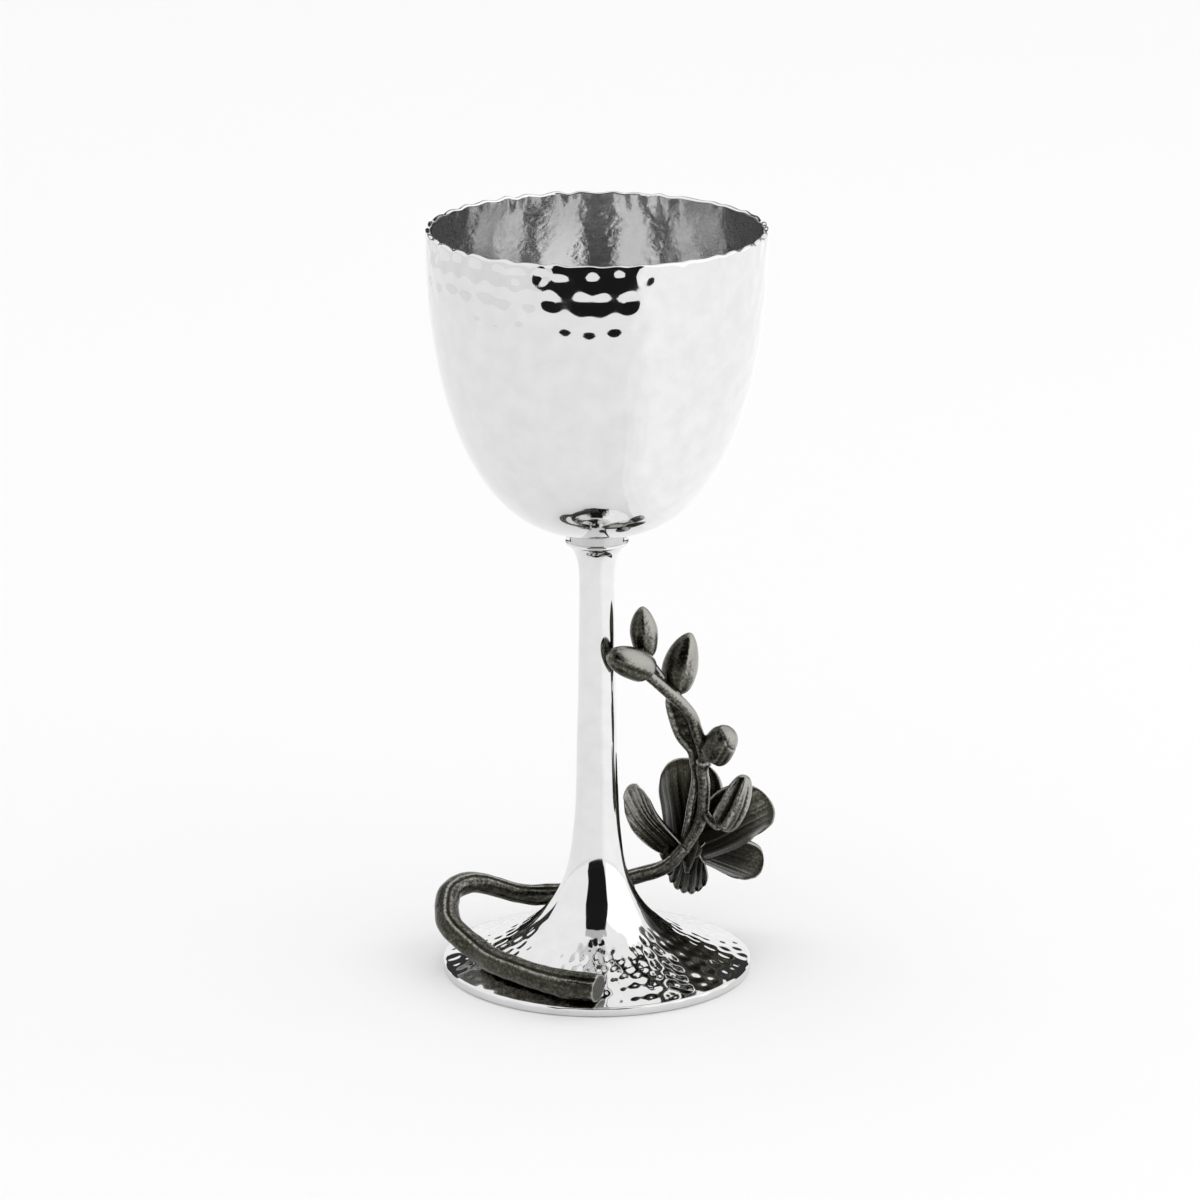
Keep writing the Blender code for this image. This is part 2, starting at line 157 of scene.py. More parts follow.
# The oblique cut at the branch's thick end: what it adds, its slant and how far that reaches
CUT_LENGTH = 0.0007
CUT_SLANT = 0.30
CUT_FADE = 0.005

# A step in the branch near the cut: stop, sharpness, then angle, width and share of the radius
CUT_STEP_STOP = 1.25
CUT_STEP_SHARPNESS = 0.06
CUT_STEP = (235, 60, 0.10)

# The groove between the branch's two strands winds round it from stop to stop, with the ridges
# beside it given as angle from the groove, width in degrees and share of the radius
GROOVE_STOPS = (0, 2, 5, 7, 9, 17)
GROOVE_ANGLES = (132, 128, 116, 96, 70, 40)
GROOVE_SIDES = ((0, 7, -0.10), (15, 9, 0.06), (52, 30, -0.07), (-34, 22, 0.07))

# Uneven bark: lumps and a finer grain, as shares of the branch's radius
BARK_LUMP = 0.05
BARK_LUMP_SIZE = 1.1
BARK_GRAIN = 0.022
BARK_GRAIN_SIZE = 0.3
BARK_GRAIN_STRETCH = (1, 1, 0.5)

# Swellings of the branch: stop, length in stops, angle round it, width in degrees, share of radius
BRANCH_KNOBS = (
    (2.6, 0.25, 205, 45, 0.06), (4.3, 0.4, 150, 50, -0.05), (6.6, 0.5, 20, 40, 0.10),
    (7.6, 0.35, 0, 38, 0.16), (8.8, 0.3, 60, 50, -0.05), (10.4, 0.3, 250, 50, 0.08),
    (11.6, 0.25, 280, 60, 0.10), (12.6, 0.4, 120, 60, 0.05),
)

# Shoots, as in the solid, in thousandths of a metre from the branch's thin end, with a node,
# rings, lumps and a seam on them
SPRAY_UNIT = 0.001
MAIN_SHOOT_RADIUS = 0.00148
MAIN_SHOOT = (
    (0, 0, 0), (3.4, -2.5, 7.6), (4.1, -4, 15.8), (3.6, -4.5, 20.4), (4, -5, 24),
    (2.3, -6.3, 30.3), (0.4, -8, 35.6), (-4.3, -10, 41.1), (-9.4, -12.5, 46.4),
)
SHOOT_NODE = 3.6
SHOOT_NODE_LENGTH = 0.28
SHOOT_NODE_SWELL = 0.3
SHOOT_RINGS = 0.03
SHOOT_RING_STRETCH = (0.5, 0.5, 1.6)
SHOOT_LUMPS = 0.05
SHOOT_LUMP_STRETCH = (1, 1, 0.25)
SHOOT_SEAM = (200, 14, -0.07)
SIDE_SHOOT_RADIUS = 0.00095
SIDE_SHOOT = (
    (-3.3, 2, -3.6), (-0.6, 0, 1.4), (1, -1.6, 10.7), (2, -2.8, 18.2), (1.2, -3.4, 24.1),
    (-2.1, -4.4, 29.1), (-4.2, -5.5, 36.8), (-3.1, -6, 40.8),
)

# The web between the shoots, in the same unit
WEB_THICKNESS = 0.7
WEB_HEIGHTS = (15, 37.5)
WEB_LUMP = 0.35
WEB_LUMP_SIZE = 1.6

# Buds: path, share that is bare stalk, radius, bluntness, folds as angle, width in degrees and
# share of the radius, and where a petal's edge wraps across
BUD_BELLY_SHIFT = 0.9
BUD_STALK_FADE = 4
BUD_STALK_RADIUS = 0.0010
BUD_TIP = 0.9995
BUD_FOLD_RISE = 5
BUD_WRAP = 0.06
BUD_WRAP_SLANT = 0.24
BUD_WRAP_TURN = 0.6
BUD_WRAP_FADE = 0.08
BUDS = {
    "top_bud": (
        ((-5.8, -10.3, 44.3), (-9.2, -9.4, 49.5), (-10.3, -9.4, 56.3), (-10.6, -10, 62)),
        0.33, 0.0031, 1.6, ((165, 12, 0.07), (60, 60, 0.04), (285, 60, 0.04)), None,
    ),
    "inner_bud": (
        ((-8.6, -12.1, 45.7), (-10.4, -13.4, 48), (-14.6, -16.2, 50.6), (-18.6, -18.6, 52.7)),
        0.16, 0.0036, 2.0, ((200, 10, -0.05), (100, 50, 0.04)), None,
    ),
    "outer_bud": (
        ((-3.6, -5.8, 39.6), (-2.6, -6.2, 42.3), (-1, -6.8, 49.1), (0.7, -7.2, 54.8)),
        0.12, 0.0040, 1.6, ((325, 12, 0.07), (80, 60, 0.04), (215, 60, 0.03)), None,
    ),
    "round_bud": (
        ((3.8, -4.9, 23), (6.2, -5.2, 24.3), (8, -7.2, 28), (9.7, -9.4, 31.4)),
        0.27, 0.0038, 2.4, ((330, 8, -0.05),), 0.72,
    ),
    "open_bud": (
        ((3.4, -3, 10.6), (7.2, -5, 6.6), (10.6, -6.6, 11.4), (13.8, -7.6, 20)),
        0.42, 0.0034, 2.2, ((8, 15, -0.36), (40, 14, 0.12), (335, 12, 0.14), (300, 7, -0.10)), None,
    ),
}

# Flower, seen from its back: heart, lip and a stalk that tapers
FLOWER_FACING = (0.25, 0.85, 0.45)
FLOWER_CENTRE = (1.4, 2.8, -1.4)
FLOWER_HEART_RADIUS = 0.0026
LIP_CENTRE = (-3.7, 4.5, -3.2)
LIP_RADIUS = 0.0026
FLOWER_STALK = (
    (1.8, 0.2, 4.0, 1.0), (1.4, 1.0, 0.0, 1.6), (0.7, 2.4, -3.8, 1.5), (0.3, 5.2, -8.0, 0.7),
)

# A petal's edge is thin and rolled back, its middle creased, its face ribbed, lumpy and veined
PETAL_THICKNESS = 0.0012
PETAL_EDGE_THINNING = 0.4
PETAL_BASE_WIDTH = 0.8
PETAL_WIDENING = 0.35
PETAL_BEND_STEP = 0.05
PETAL_ROLL = 0.0004
PETAL_ROLL_START = 0.82
PETAL_CREASE = 0.00035
PETAL_CREASE_WIDTH = 0.07
PETAL_LUMP = 0.00035
PETAL_LUMP_GRID = (0.25, 1.0, 1.0)
PETAL_RIB_WANDER = 0.10
PETAL_RIB_LEVEL = 0.6
PETAL_RIB_RISE = 4
VEIN_GRID = (9.0, 1.3)
FINE_VEIN_GRID = (2.3, 1.2, 1.0)
FINE_VEINS = 0.6

# Petals and sepals: path out from the heart, half width, curl, ribs, their height, the veins'
# height, added wear
PETALS = {
    "upper_petal": (
        ((0.6, 2, -3), (-0.1, 5.5, 5.4), (-1, 9, 12), (-1.5, 12.5, 17.6)),
        0.0088, 0.50, 3, 0.0001, 0.00004, 0.0,
    ),
    "side_petal": (
        ((-0.4, 2.2, -2.4), (8, 3, 0.8), (15, 5, 4.0), (20.8, 8, 6.0)),
        0.0098, 0.50, 3, 0.0001, 0.00005, 0.0,
    ),
    "lower_petal": (
        ((0.2, 3, -1.8), (6.6, 8, -6), (12.2, 12, -9.6), (16.6, 15, -12.4)),
        0.0076, 0.50, 3, 0.0001, 0.00006, 0.0,
    ),
    "left_sepal": (
        ((1.4, 2.4, -4), (-3.6, 3, 0.8), (-9.2, 3.5, 6.8), (-13, 4, 14.2)),
        0.0042, -0.55, 2, 0.0004, 0.00020, 0.26,
    ),
    "bottom_sepal": (
        ((1.2, 1.6, -1), (0.6, 6, -7.5), (0.2, 10, -11.9), (-0.3, 13.6, -15.6)),
        0.0050, 0.30, 3, 0.0007, 0.00010, 0.10,
    ),
}

# How finely the casting is drawn: steps in each span of a curve, sides of a tube, then the grids
# of petals, web and balls
CURVE_STEPS = 12
BUD_STEPS = 24
PETAL_STEPS = 40
BRANCH_SIDES = 64
SHOOT_SIDES = 36
TUBE_SPACING = 0.00025
PETAL_ROWS = 91
PETAL_COLUMNS = 91
WEB_ROWS = 120
WEB_COLUMNS = 24
BALL_ROWS = 40
BALL_COLUMNS = 56
BALL_POLE = 0.02
CASTING_VOXEL = 0.00026
UNITS_PER_METRE = 1000.0

# Lightness of the dark metal, 0 dark to 1 bright: wear on what stands proud of its surroundings, a
# painted highlight on the raised parts' sides that face the light on the right and above, and a
# tone that is darker towards the flower's heart and lighter towards the petals' outer ends
RELIEF_ROUNDS = 6
RELIEF_SPAN = 0.00012
RELIEF_WEAR = 0.5
# Painted highlight: the sides that face the light on the right and above are made lighter, fading
# out low down near the foot
PAINTED_HIGHLIGHT_SIDE = (0.85, -0.15, 0.5)
PAINTED_HIGHLIGHT_SLOPE = 1.5
PAINTED_HIGHLIGHT_LIMIT = 0.45
PAINTED_HIGHLIGHT_FROM = 0.008
PAINTED_HIGHLIGHT_RISE = 0.035
CASTING_WEAR = 0.54
CASTING_PAINTED_HIGHLIGHT = 0.36
FLOWER_PAINTED_HIGHLIGHT = 0.2
# Flower tone by distance from its heart: darker near the heart, lighter towards the petals' outer
# ends
PETAL_TONE_REACH = (0.005, 0.012, 0.018)
PETAL_TONE = (0.10, 0.32, 0.54)
HEART_WEAR = 0.1
LIP_WEAR = 0.2
FLOWER_STALK_WEAR = 0.05

# Bright metal: an uneven polish; the bowl's inside is paler, less of a mirror and finely stroked
HAZE_SCALE = 240.0
BRIGHT_STOPS = ((0.3, 0.73), (0.7, 0.78), (1.0, 0.80))
POLISH_STOPS = ((0.3, 0.03), (0.75, 0.07))
INSIDE_DULLING = -0.045
STROKE_SCALE = 500.0
STROKE_STRETCH = (1.0, 1.0, 1.7)
STROKE_HEIGHT = 0.00008

# Dark metal: its colour from the hollows to what is worn bright, its patina and its grain
WEAR_STOPS = (
    (0.45, (0.006, 0.0055, 0.0035)), (0.64, (0.018, 0.017, 0.012)),
    (0.74, (0.036, 0.0345, 0.026)), (0.82, (0.070, 0.068, 0.055)),
    (0.90, (0.15, 0.147, 0.13)), (0.97, (0.33, 0.325, 0.30)),
)
PATINA_SCALE = 1500.0
PATINA_SHARE = 0.40
PATINA_STOPS = ((0.3, 0.22), (0.7, 0.36))
GRAIN_SCALE = 2600.0
GRAIN_STRENGTH = 0.25
GRAIN_HEIGHT = 0.00012

# Studio in metres: floor, light and sky, then the cards by name, glow and rows of left, right, y, z
FLOOR_HALF = 4.0
FLOOR_COLOUR = (0.9, 0.9, 0.9)
LIGHT_CORNERS = ((0.85, -1.15, 0.05), (1.3, 0.6, 0.05), (0.90, 0.6, 1.60), (0.55, -1.15, 1.60))
LIGHT_GLOW = 1.35
SKY_GLOW = 1.05
CARDS = (
    ("dark_arch", 0.012, (
        (-0.31, 0.20, -0.463, 0.020), (-0.33, 0.23, -0.465, 0.045), (-0.36, 0.26, -0.47, 0.066),
        (-0.32, 0.31, -0.48, 0.15), (-0.34, 0.32, -0.46, 0.40), (-0.29, 0.25, -0.42, 0.65),
        (-0.26, 0.20, -0.34, 0.90),
    )),
    ("arch_end", 0.55, ((-0.26, 0.20, -0.34, 0.90), (-0.20, 0.16, -0.18, 1.06))),
    ("back_panel", 0.04, ((-1.3, 1.3, 1.0, 0.318), (-1.2, 1.2, 1.0, 0.70))),
    ("left_sheet", 0.88, (
        (-1.6, -0.20, -0.75, 0.001), (-1.6, -0.47, -0.45, 0.001), (-1.6, -0.62, -0.15, 0.001),
        (-1.6, -0.66, 0.10, 0.001), (-1.6, -0.60, 0.40, 0.001), (-1.3, -0.30, 0.65, 0.001),
    )),
)

# Sheets just over the floor on the right: each starts farther right than the one below it and is
# brighter. In front they start farther right than beside the cup.
SHEET_GLOWS = (1.03, 1.06, 1.09, 1.12)
SHEET_HEIGHT = 0.001
SHEET_LIFT = 0.0002
SHEET_NEAR = 0.04
SHEET_NEAR_STEP = 0.012
SHEET_FRONT = 0.46
SHEET_FRONT_STEP = 0.12
SHEET_RIGHT = 3.0
SHEET_ROWS = (-1.3, -0.08, 0.8)

# Camera: it looks slightly down along +Y
CAMERA_BACK = 1.33942
CAMERA_HEIGHT = 0.48053
CAMERA_TILT = 0.283913
CAMERA_LENS = 180.372
CAMERA_SENSOR = 36.0
CAMERA_SHIFT = 0.0025
CAMERA_CLIP = 0.01


def cup_axis():
    """The cup's axis in the frame: the middle of the foot."""
    low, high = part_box("stem_foot")
    return np.array(((low[0] + high[0]) / 2, (low[1] + high[1]) / 2, 0.0))


AXIS = cup_axis()


def noise_at(points, size, seed):
    """Smooth noise from -1 to 1 at each point, with lumps of the given size."""
    shift = Vector((seed * 7.31, seed * 3.17, seed * 5.53))
    return np.array([noise.noise(Vector(point) / size + shift) for point in points])


def spline(points, steps):
    """Smooth curve through all the points, with the given number of steps in each span."""
    points = np.asarray(points, float)
    padded = np.vstack([2 * points[:1] - points[1:2], points, 2 * points[-1:] - points[-2:-1]])
    before, start, end, after = (padded[i:len(padded) - 3 + i, None] for i in range(4))
    t = (np.arange(steps) / steps)[None, :, None]
    bend = 2 * before - 5 * start + 4 * end - after
    twist = 3 * start - before - 3 * end + after
    curve = start + 0.5 * t * ((end - before) + t * bend + t * t * twist)
    return np.vstack([curve.reshape(-1, points.shape[1]), points[-1:]])


def run_along(path):
    """Distance along a path at each of its points."""
    steps = np.linalg.norm(np.diff(path, axis=0), axis=1)
    return np.concatenate([[0.0], np.cumsum(steps)])


def even(path, spacing):
    """Points along a path, evenly spaced by its first three columns."""
    run = run_along(path[:, :3])
    where = np.linspace(0, run[-1], max(2, round(run[-1] / spacing) + 1))
    return np.column_stack([np.interp(where, run, column) for column in path.T])


def unit(vectors):
    return vectors / np.linalg.norm(vectors, axis=-1, keepdims=True)


def skin(rings):
    """Points and faces of a closed body through equal rings of points."""
    rows, sides = rings.shape[:2]
    points = np.vstack([rings.reshape(-1, 3), rings[0].mean(0), rings[-1].mean(0)])
    here = np.arange(rows * sides).reshape(rows, sides)
    beside = np.roll(here, -1, axis=1)
    quads = np.stack([here[:-1], beside[:-1], beside[1:], here[1:]], -1).reshape(-1, 4)
    low = [(len(points) - 2, b, a) for a, b in zip(here[0], beside[0])]
    high = [(len(points) - 1, a, b) for a, b in zip(here[-1], beside[-1])]
    return points, quads.tolist() + low + high


def join(bodies):
    """One list of points and one of faces for several bodies."""
    points, faces, start = [], [], 0
    for some_points, some_faces in bodies:
        points.append(some_points)
        faces += [[corner + start for corner in face] for face in some_faces]
        start += len(some_points)
    return np.vstack(points), faces


def new_mesh(name, points, faces):
    """A mesh with outward faces."""
    mesh = bpy.data.meshes.new(name)
    mesh.from_pydata(points.tolist(), [], faces)
    shape = bmesh.new()
    shape.from_mesh(mesh)
    bmesh.ops.recalc_face_normals(shape, faces=shape.faces)
    shape.to_mesh(mesh)
    shape.free()
    return mesh


def add_piece(name, mesh, node, material):
    """Set a mesh on the cup's axis as a piece that stands for a CAD node."""
    mesh.shade_smooth()
    mesh.materials.append(material)
    piece = bpy.data.objects.new(name, mesh)
    piece.location = AXIS
    bpy.context.scene.collection.objects.link(piece)
    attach(piece, "root")
    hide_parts(node)


def hammer_marks(turn, run, count, row_height, unevenness, seed):
    """Brick-laid round hollows, 0 in the middle of each mark and near 1 between the marks.

    turn is the angle round the axis and run the distance down the side.
    """
    rng = np.random.default_rng(seed)
    rows = int(np.ceil(run.max() / row_height)) + 3
    shift = rng.uniform(-unevenness, unevenness, (rows, count, 2))
    column = (turn / (2 * np.pi) * count)[None, :]
    row = (run / row_height)[:, None]
    nearness = np.zeros((len(run), len(turn)))
    for row_step in (-1, 0, 1):
        k = np.floor(row) + row_step
        stagger = 0.5 * (k % 2)
        for column_step in (-1, 0, 1):
            i = np.floor(column - stagger) + column_step
            kept = shift[k.astype(int) % rows, i.astype(int) % count]
            aside = column - (i + 0.5 + stagger + kept[..., 0])
            below = row - (k + 0.5 + kept[..., 1])
            nearness += np.exp(-MARK_SHARPNESS * (aside ** 2 + below ** 2))
    return 1 - nearness


def lathe(radius, height, segments):
    """Rings of points round the axis for a profile, with the angle of each column."""
    turn = 2 * np.pi * np.arange(segments) / segments
    around = np.stack([np.cos(turn), np.sin(turn), np.zeros(segments)], -1)
    rings = radius[:, None, None] * around + height[:, None, None] * UP
    return rings, turn, around


def profile_normals(profile):
    """Unit vectors to the right of the way along a profile."""
    way = np.gradient(profile, axis=0)
    return unit(np.column_stack([way[:, 1], -way[:, 0]]))


def around_axis(normals, around):
    """The normals of a profile at every column of its rings."""
    return normals[:, :1, None] * around + normals[:, 1:, None] * UP


def bowl_curve(share, wall):
    """Radius and height on one side of the bowl, from share 0 at its bottom to 1 at the rim."""
    angle = share * np.pi / 2
    radius = (RIM_RADIUS - wall) * np.sin(angle) ** (2 / BOWL_SIDE_POWER)
    drop = (BOWL_DEPTH - wall) * np.maximum(np.cos(angle), 0.0) ** (2 / BOWL_FLOOR_POWER)
    return np.column_stack([radius, CUP_HEIGHT - drop])


def bowl_start():
    """Share of the curve at which the bowl sits on the foot's spigot."""
    sine = (BOWL_SEAT_RADIUS / RIM_RADIUS) ** (BOWL_SIDE_POWER / 2)
    return math.asin(sine) * 2 / math.pi


def bowl_side(start, wall):
    """Evenly spaced points up one side of the bowl, short of the rim's rounding."""
    shares = np.linspace(start, 1, BOWL_CURVE_STEPS)
    side = even(bowl_curve(shares, wall), BOWL_ROW_SPACING)
    return side[side[:, 1] < CUP_HEIGHT - RIM_ROUNDING]


def bowl_lip():
    """Points over the rounded outer edge of the rim and down its inner edge."""
    bend = np.linspace(0, np.pi / 2, LIP_STEPS)
    over = RIM_ROUNDING * np.column_stack([np.cos(bend) - 1, np.sin(bend) - 1])
    outer = over + (RIM_RADIUS, CUP_HEIGHT)
    inner = over[::-1] * (-1, 1) + (RIM_RADIUS - BOWL_WALL, CUP_HEIGHT)
    return np.vstack([outer, inner])


def bowl_hammering(rings, turn, run, lip_run):
    """How far each point of the bowl is pushed out by the marks and the fine ripple inside."""
    down = np.abs(run - lip_run)
    is_inside = run > lip_run
    marks = hammer_marks(
        turn + BOWL_MARK_TURN, down - BOWL_MARK_START, BOWL_MARKS, BOWL_MARK_HEIGHT,
        BOWL_MARK_UNEVENNESS, seed=3,
    )
    deepest = np.where(is_inside, BOWL_MARK_DEPTH_INSIDE, BOWL_MARK_DEPTH)
    least = np.where(is_inside, BOWL_MARK_LEAST_INSIDE, BOWL_MARK_LEAST)
    strength = least + (1 - least) * np.exp(-((down / BOWL_MARK_REACH) ** 2))
    depth = (deepest * strength)[:, None] * (marks - BOWL_MARK_LEVEL)
    rippled = rings[is_inside]
    ripple = noise_at(rippled.reshape(-1, 3), BOWL_RIPPLE_SIZE, 12).reshape(rippled.shape[:2])
    depth[is_inside] += BOWL_RIPPLE_INSIDE * ripple
    return depth


def rim_waves(rings, turn, around):
    """How far each point of the bowl is moved by the waves of its rim."""
    fade = np.maximum(0.0, 1 - (CUP_HEIGHT - rings[..., 2]) / RIM_WAVE_FADE)
    drift = RIM_WAVE_DRIFT * noise_at(around, RIM_DRIFT_SIZE, 5)
    swell = RIM_WAVE_STRENGTH + RIM_WAVE_UNEVENNESS * np.cos(RIM_WAVE_SWELLS * turn + 1)
    swell += RIM_WAVE_WANDER * noise_at(around, RIM_WANDER_SIZE, 6)
    swing = (fade * swell * np.cos(RIM_WAVES * turn + drift))[..., None]
    return swing * (around * RIM_WAVE_REACH + UP * RIM_WAVE_HEIGHT)


def make_bowl(material):
    """The bowl: up its outer side, over the lip and down its inner side."""
    outside = bowl_side(bowl_start(), 0.0)
    inside = bowl_side(BOWL_INSIDE_START, BOWL_WALL)[::-1]
    lip = bowl_lip()
    profile = np.vstack([outside, lip, inside])
    run = run_along(profile)
    lip_run = run[len(outside) + LIP_STEPS]
    rings, turn, around = lathe(profile[:, 0], profile[:, 1], BOWL_SEGMENTS)
    level = np.tile((1.0, 0.0), (len(lip), 1))
    outward = np.vstack([profile_normals(outside), level, -profile_normals(inside)])
    depth = bowl_hammering(rings, turn, run, lip_run)
    rings += depth[..., None] * around_axis(outward, around)
    rings += rim_waves(rings, turn, around)
    mesh = new_mesh("hammered_bowl", *skin(rings))
    mark = mesh.attributes.new("inside", "FLOAT", "POINT")
    values = np.repeat((run > lip_run).astype(float), BOWL_SEGMENTS)
    mark.data.foreach_set("value", np.concatenate([values, [0.0, 1.0]]))
    add_piece("hammered_bowl", mesh, "bowl", material)


def spigot_top():
    """Height of the spigot's top, a gap below the bowl."""
    return bowl_curve(np.array([bowl_start()]), 0.0)[0, 1] - CONTACT_GAP


def collar_bottom():
    """Height at which the stem ends and the collar starts."""
    return spigot_top() - SPIGOT_LENGTH - COLLAR_HEIGHT


def stem_radius(height):
    """Outer radius of the foot and stem: a taper with a flare at each end."""
    top = collar_bottom()
    taper = STEM_BASE_RADIUS + (STEM_TOP_RADIUS - STEM_BASE_RADIUS) * height / top
    fall = (FOOT_EDGE_HEIGHT - height) / FOOT_FLARE_HEIGHT
    foot = (FOOT_RADIUS - STEM_BASE_RADIUS) * np.exp(fall)
    neck = (NECK_RADIUS - STEM_TOP_RADIUS) * np.exp((height - top) / NECK_FLARE_HEIGHT)
    return taper + foot + neck


def foot_hollow():
    """Underside of the foot: the outer surface moved in by the wall, from the top down."""
    low = FOOT_EDGE_HEIGHT + FOOT_EDGE_ROUNDING
    climb = np.linspace(1, 0, FOOT_HOLLOW_ROWS) ** FOOT_HOLLOW_CROWDING
    height = low + (FOOT_HOLLOW_HEIGHT - low) * climb
    slope = (stem_radius(height + SLOPE_STEP) - stem_radius(height - SLOPE_STEP)) / (2 * SLOPE_STEP)
    normal = unit(np.column_stack([np.ones_like(slope), -slope]))
    return np.column_stack([stem_radius(height), height]) - FOOT_WALL * normal


def foot_edge():
    """Points round the foot's edge, from its standing ring up to the disc."""
    return np.array([
        (FOOT_RADIUS - FOOT_RING_WIDTH, 0.0),
        (FOOT_RADIUS - FOOT_EDGE_ROUNDING, 0.0),
        (FOOT_RADIUS, FOOT_EDGE_ROUNDING),
        (FOOT_RADIUS, FOOT_EDGE_HEIGHT - FOOT_EDGE_ROUNDING),
        (FOOT_RADIUS - FOOT_EDGE_ROUNDING / 2, FOOT_EDGE_HEIGHT),
    ])


def collar():
    """Points round the collar and up the spigot that the bowl sits on."""
    low = collar_bottom()
    high = low + COLLAR_HEIGHT
    return np.array([
        (COLLAR_RADIUS - COLLAR_ROUNDING, low),
        (COLLAR_RADIUS, low + COLLAR_ROUNDING),
        (COLLAR_RADIUS, high - COLLAR_ROUNDING),
        (COLLAR_RADIUS - COLLAR_ROUNDING, high),
        (SPIGOT_RADIUS, high),
        (SPIGOT_RADIUS, spigot_top()),
    ])


def sharpen_edge(rings, turn, around, first):
    """Draw the foot's top edge out sharp between its dents. first is the row above the edge."""
    strength = FOOT_EDGE_MARK_STRENGTH + noise_at(around, FOOT_EDGE_MARK_PATCH, 4)
    dent = np.maximum(np.cos(FOOT_EDGE_MARKS * turn), 0.0) * strength
    sharp = FOOT_EDGE_ROUNDING * (1 - np.clip(dent, 0.0, 1.0))[:, None]
    rings[first - 2] += sharp * UP * FOOT_EDGE_LIFT
    rings[first - 1] += sharp * around * FOOT_EDGE_REACH


def foot_hammering(rings, turn, run, radius):
    """How far each point is pushed out by the marks on the disc and the ripple up the stem."""
    marks = hammer_marks(turn, run, FOOT_MARKS, FOOT_MARK_HEIGHT, FOOT_MARK_UNEVENNESS, seed=8)
    on_disc = np.clip((radius - FOOT_MARKS_START_RADIUS) / FOOT_MARKS_FADE, 0, 1)
    on_disc *= np.clip(run / FOOT_MARKS_EDGE_FADE, 0, 1)
    depth = FOOT_MARK_DEPTH * on_disc[:, None] * (marks - FOOT_MARK_LEVEL)
    flat = rings.reshape(-1, 3)
    sideways = flat[:, :2] / np.hypot(flat[:, 0], flat[:, 1])[:, None]
    wrapped = np.column_stack([sideways * STEM_RIPPLE_TURNS, flat[:, 2] / STEM_RIPPLE_HEIGHT])
    ripple = noise_at(wrapped, 1.0, 2).reshape(depth.shape)
    off_ends = np.clip(run / STEM_RIPPLE_LOW_FADE, 0, 1)
    off_ends *= np.clip((run[-1] - run) / STEM_RIPPLE_HIGH_FADE, 0, 1)
    return depth + STEM_RIPPLE * off_ends[:, None] * ripple


def make_foot(material):
    """The foot: out of its hollow, round its edge, up the stem and over the collar."""
    hollow, edge = foot_hollow(), foot_edge()
    heights = np.linspace(FOOT_EDGE_HEIGHT, collar_bottom(), FOOT_CURVE_STEPS)
    rise = even(np.column_stack([stem_radius(heights), heights]), FOOT_ROW_SPACING)[1:]
    profile = np.vstack([hollow, edge, rise, collar()])
    rings, turn, around = lathe(profile[:, 0], profile[:, 1], FOOT_SEGMENTS)
    first = len(hollow) + len(edge)
    sharpen_edge(rings, turn, around, first)
    shown = slice(first, first + len(rise))
    depth = foot_hammering(rings[shown], turn, run_along(rise), rise[:, 0])
    rings[shown] += depth[..., None] * around_axis(profile_normals(rise), around)
    mesh = new_mesh("hammered_foot", *skin(rings))
    add_piece("hammered_foot", mesh, "stem_foot", material)


def tube(path, sides, swell=None):
    """Rings of points round a path whose fourth column is its radius.

    swell gives the reach at each point and angle as a share of the radius. The angle starts on
    the side that lies level across the path's start and turns towards its top.
    """
    centres = path[:, :3]
    ahead = unit(np.gradient(centres, axis=0))
    across = np.cross(ahead[0], UP)
    sideways = []
    for direction in ahead:
        across = unit(across - across.dot(direction) * direction)
        sideways.append(across)
    sideways = np.array(sideways)
    upward = np.cross(sideways, ahead)
    turn = 2 * np.pi * np.arange(sides) / sides
    reach = np.broadcast_to(path[:, 3:4], (len(path), sides))
    if swell is not None:
        reach = reach * swell(path, turn)
    return (
        centres[:, None]
        + (reach * np.cos(turn))[..., None] * sideways[:, None]
        + (reach * np.sin(turn))[..., None] * upward[:, None]
    )


def bump(turn, centre, width):
    """1 at an angle round a tube, falling off over the given width; all in degrees."""
    away = (np.degrees(turn) - centre + 180) % 360 - 180
    return np.exp(-((away / width) ** 2))


def foot_height_at(radius):
    """Height of the disc's upper surface, from the flare alone."""
    reach = (radius - STEM_BASE_RADIUS) / (FOOT_RADIUS - STEM_BASE_RADIUS)
    return FOOT_EDGE_HEIGHT - FOOT_FLARE_HEIGHT * math.log(reach)


def on_foot(stop, angle, reach, lift, thickness):
    """Centre, radius and stop number of the branch where it lies on the foot or lifts off it."""
    radius = reach * FOOT_RADIUS
    turn = math.radians(angle)
    slope = FOOT_FLARE_HEIGHT / (radius - STEM_BASE_RADIUS)
    rest = (BRANCH_RADIUS * thickness + CONTACT_GAP) * math.hypot(1, slope)
    height = foot_height_at(radius) + rest + lift * BRANCH_RADIUS
    return (
        radius * math.cos(turn), radius * math.sin(turn), height, BRANCH_RADIUS * thickness, stop
    )


def branch_swell(path, turn):
    """Two fused strands with a sharp groove between them, a fat cut end and uneven bark."""
    stop = path[:, 4:5]
    groove = np.interp(stop, GROOVE_STOPS, GROOVE_ANGLES)
    swell = 1 + sum(amount * bump(turn, groove + off, width) for off, width, amount in GROOVE_SIDES)
    for where, length, angle, width, amount in BRANCH_KNOBS:
        swell += amount * np.exp(-(((stop - where) / length) ** 2)) * bump(turn, angle, width)
    angle, width, amount = CUT_STEP
    step = 1 / (1 + np.exp((stop - CUT_STEP_STOP) / CUT_STEP_SHARPNESS))
    swell += amount * step * bump(turn, angle, width)
    steps = np.arange(len(path))[:, None] * TUBE_SPACING / BRANCH_RADIUS
    around = np.stack(np.broadcast_arrays(np.cos(turn), np.sin(turn), steps), -1).reshape(-1, 3)
    rough = BARK_LUMP * noise_at(around, BARK_LUMP_SIZE, 1)
    rough += BARK_GRAIN * noise_at(around * BARK_GRAIN_STRETCH, BARK_GRAIN_SIZE, 2)
    return swell + rough.reshape(swell.shape)


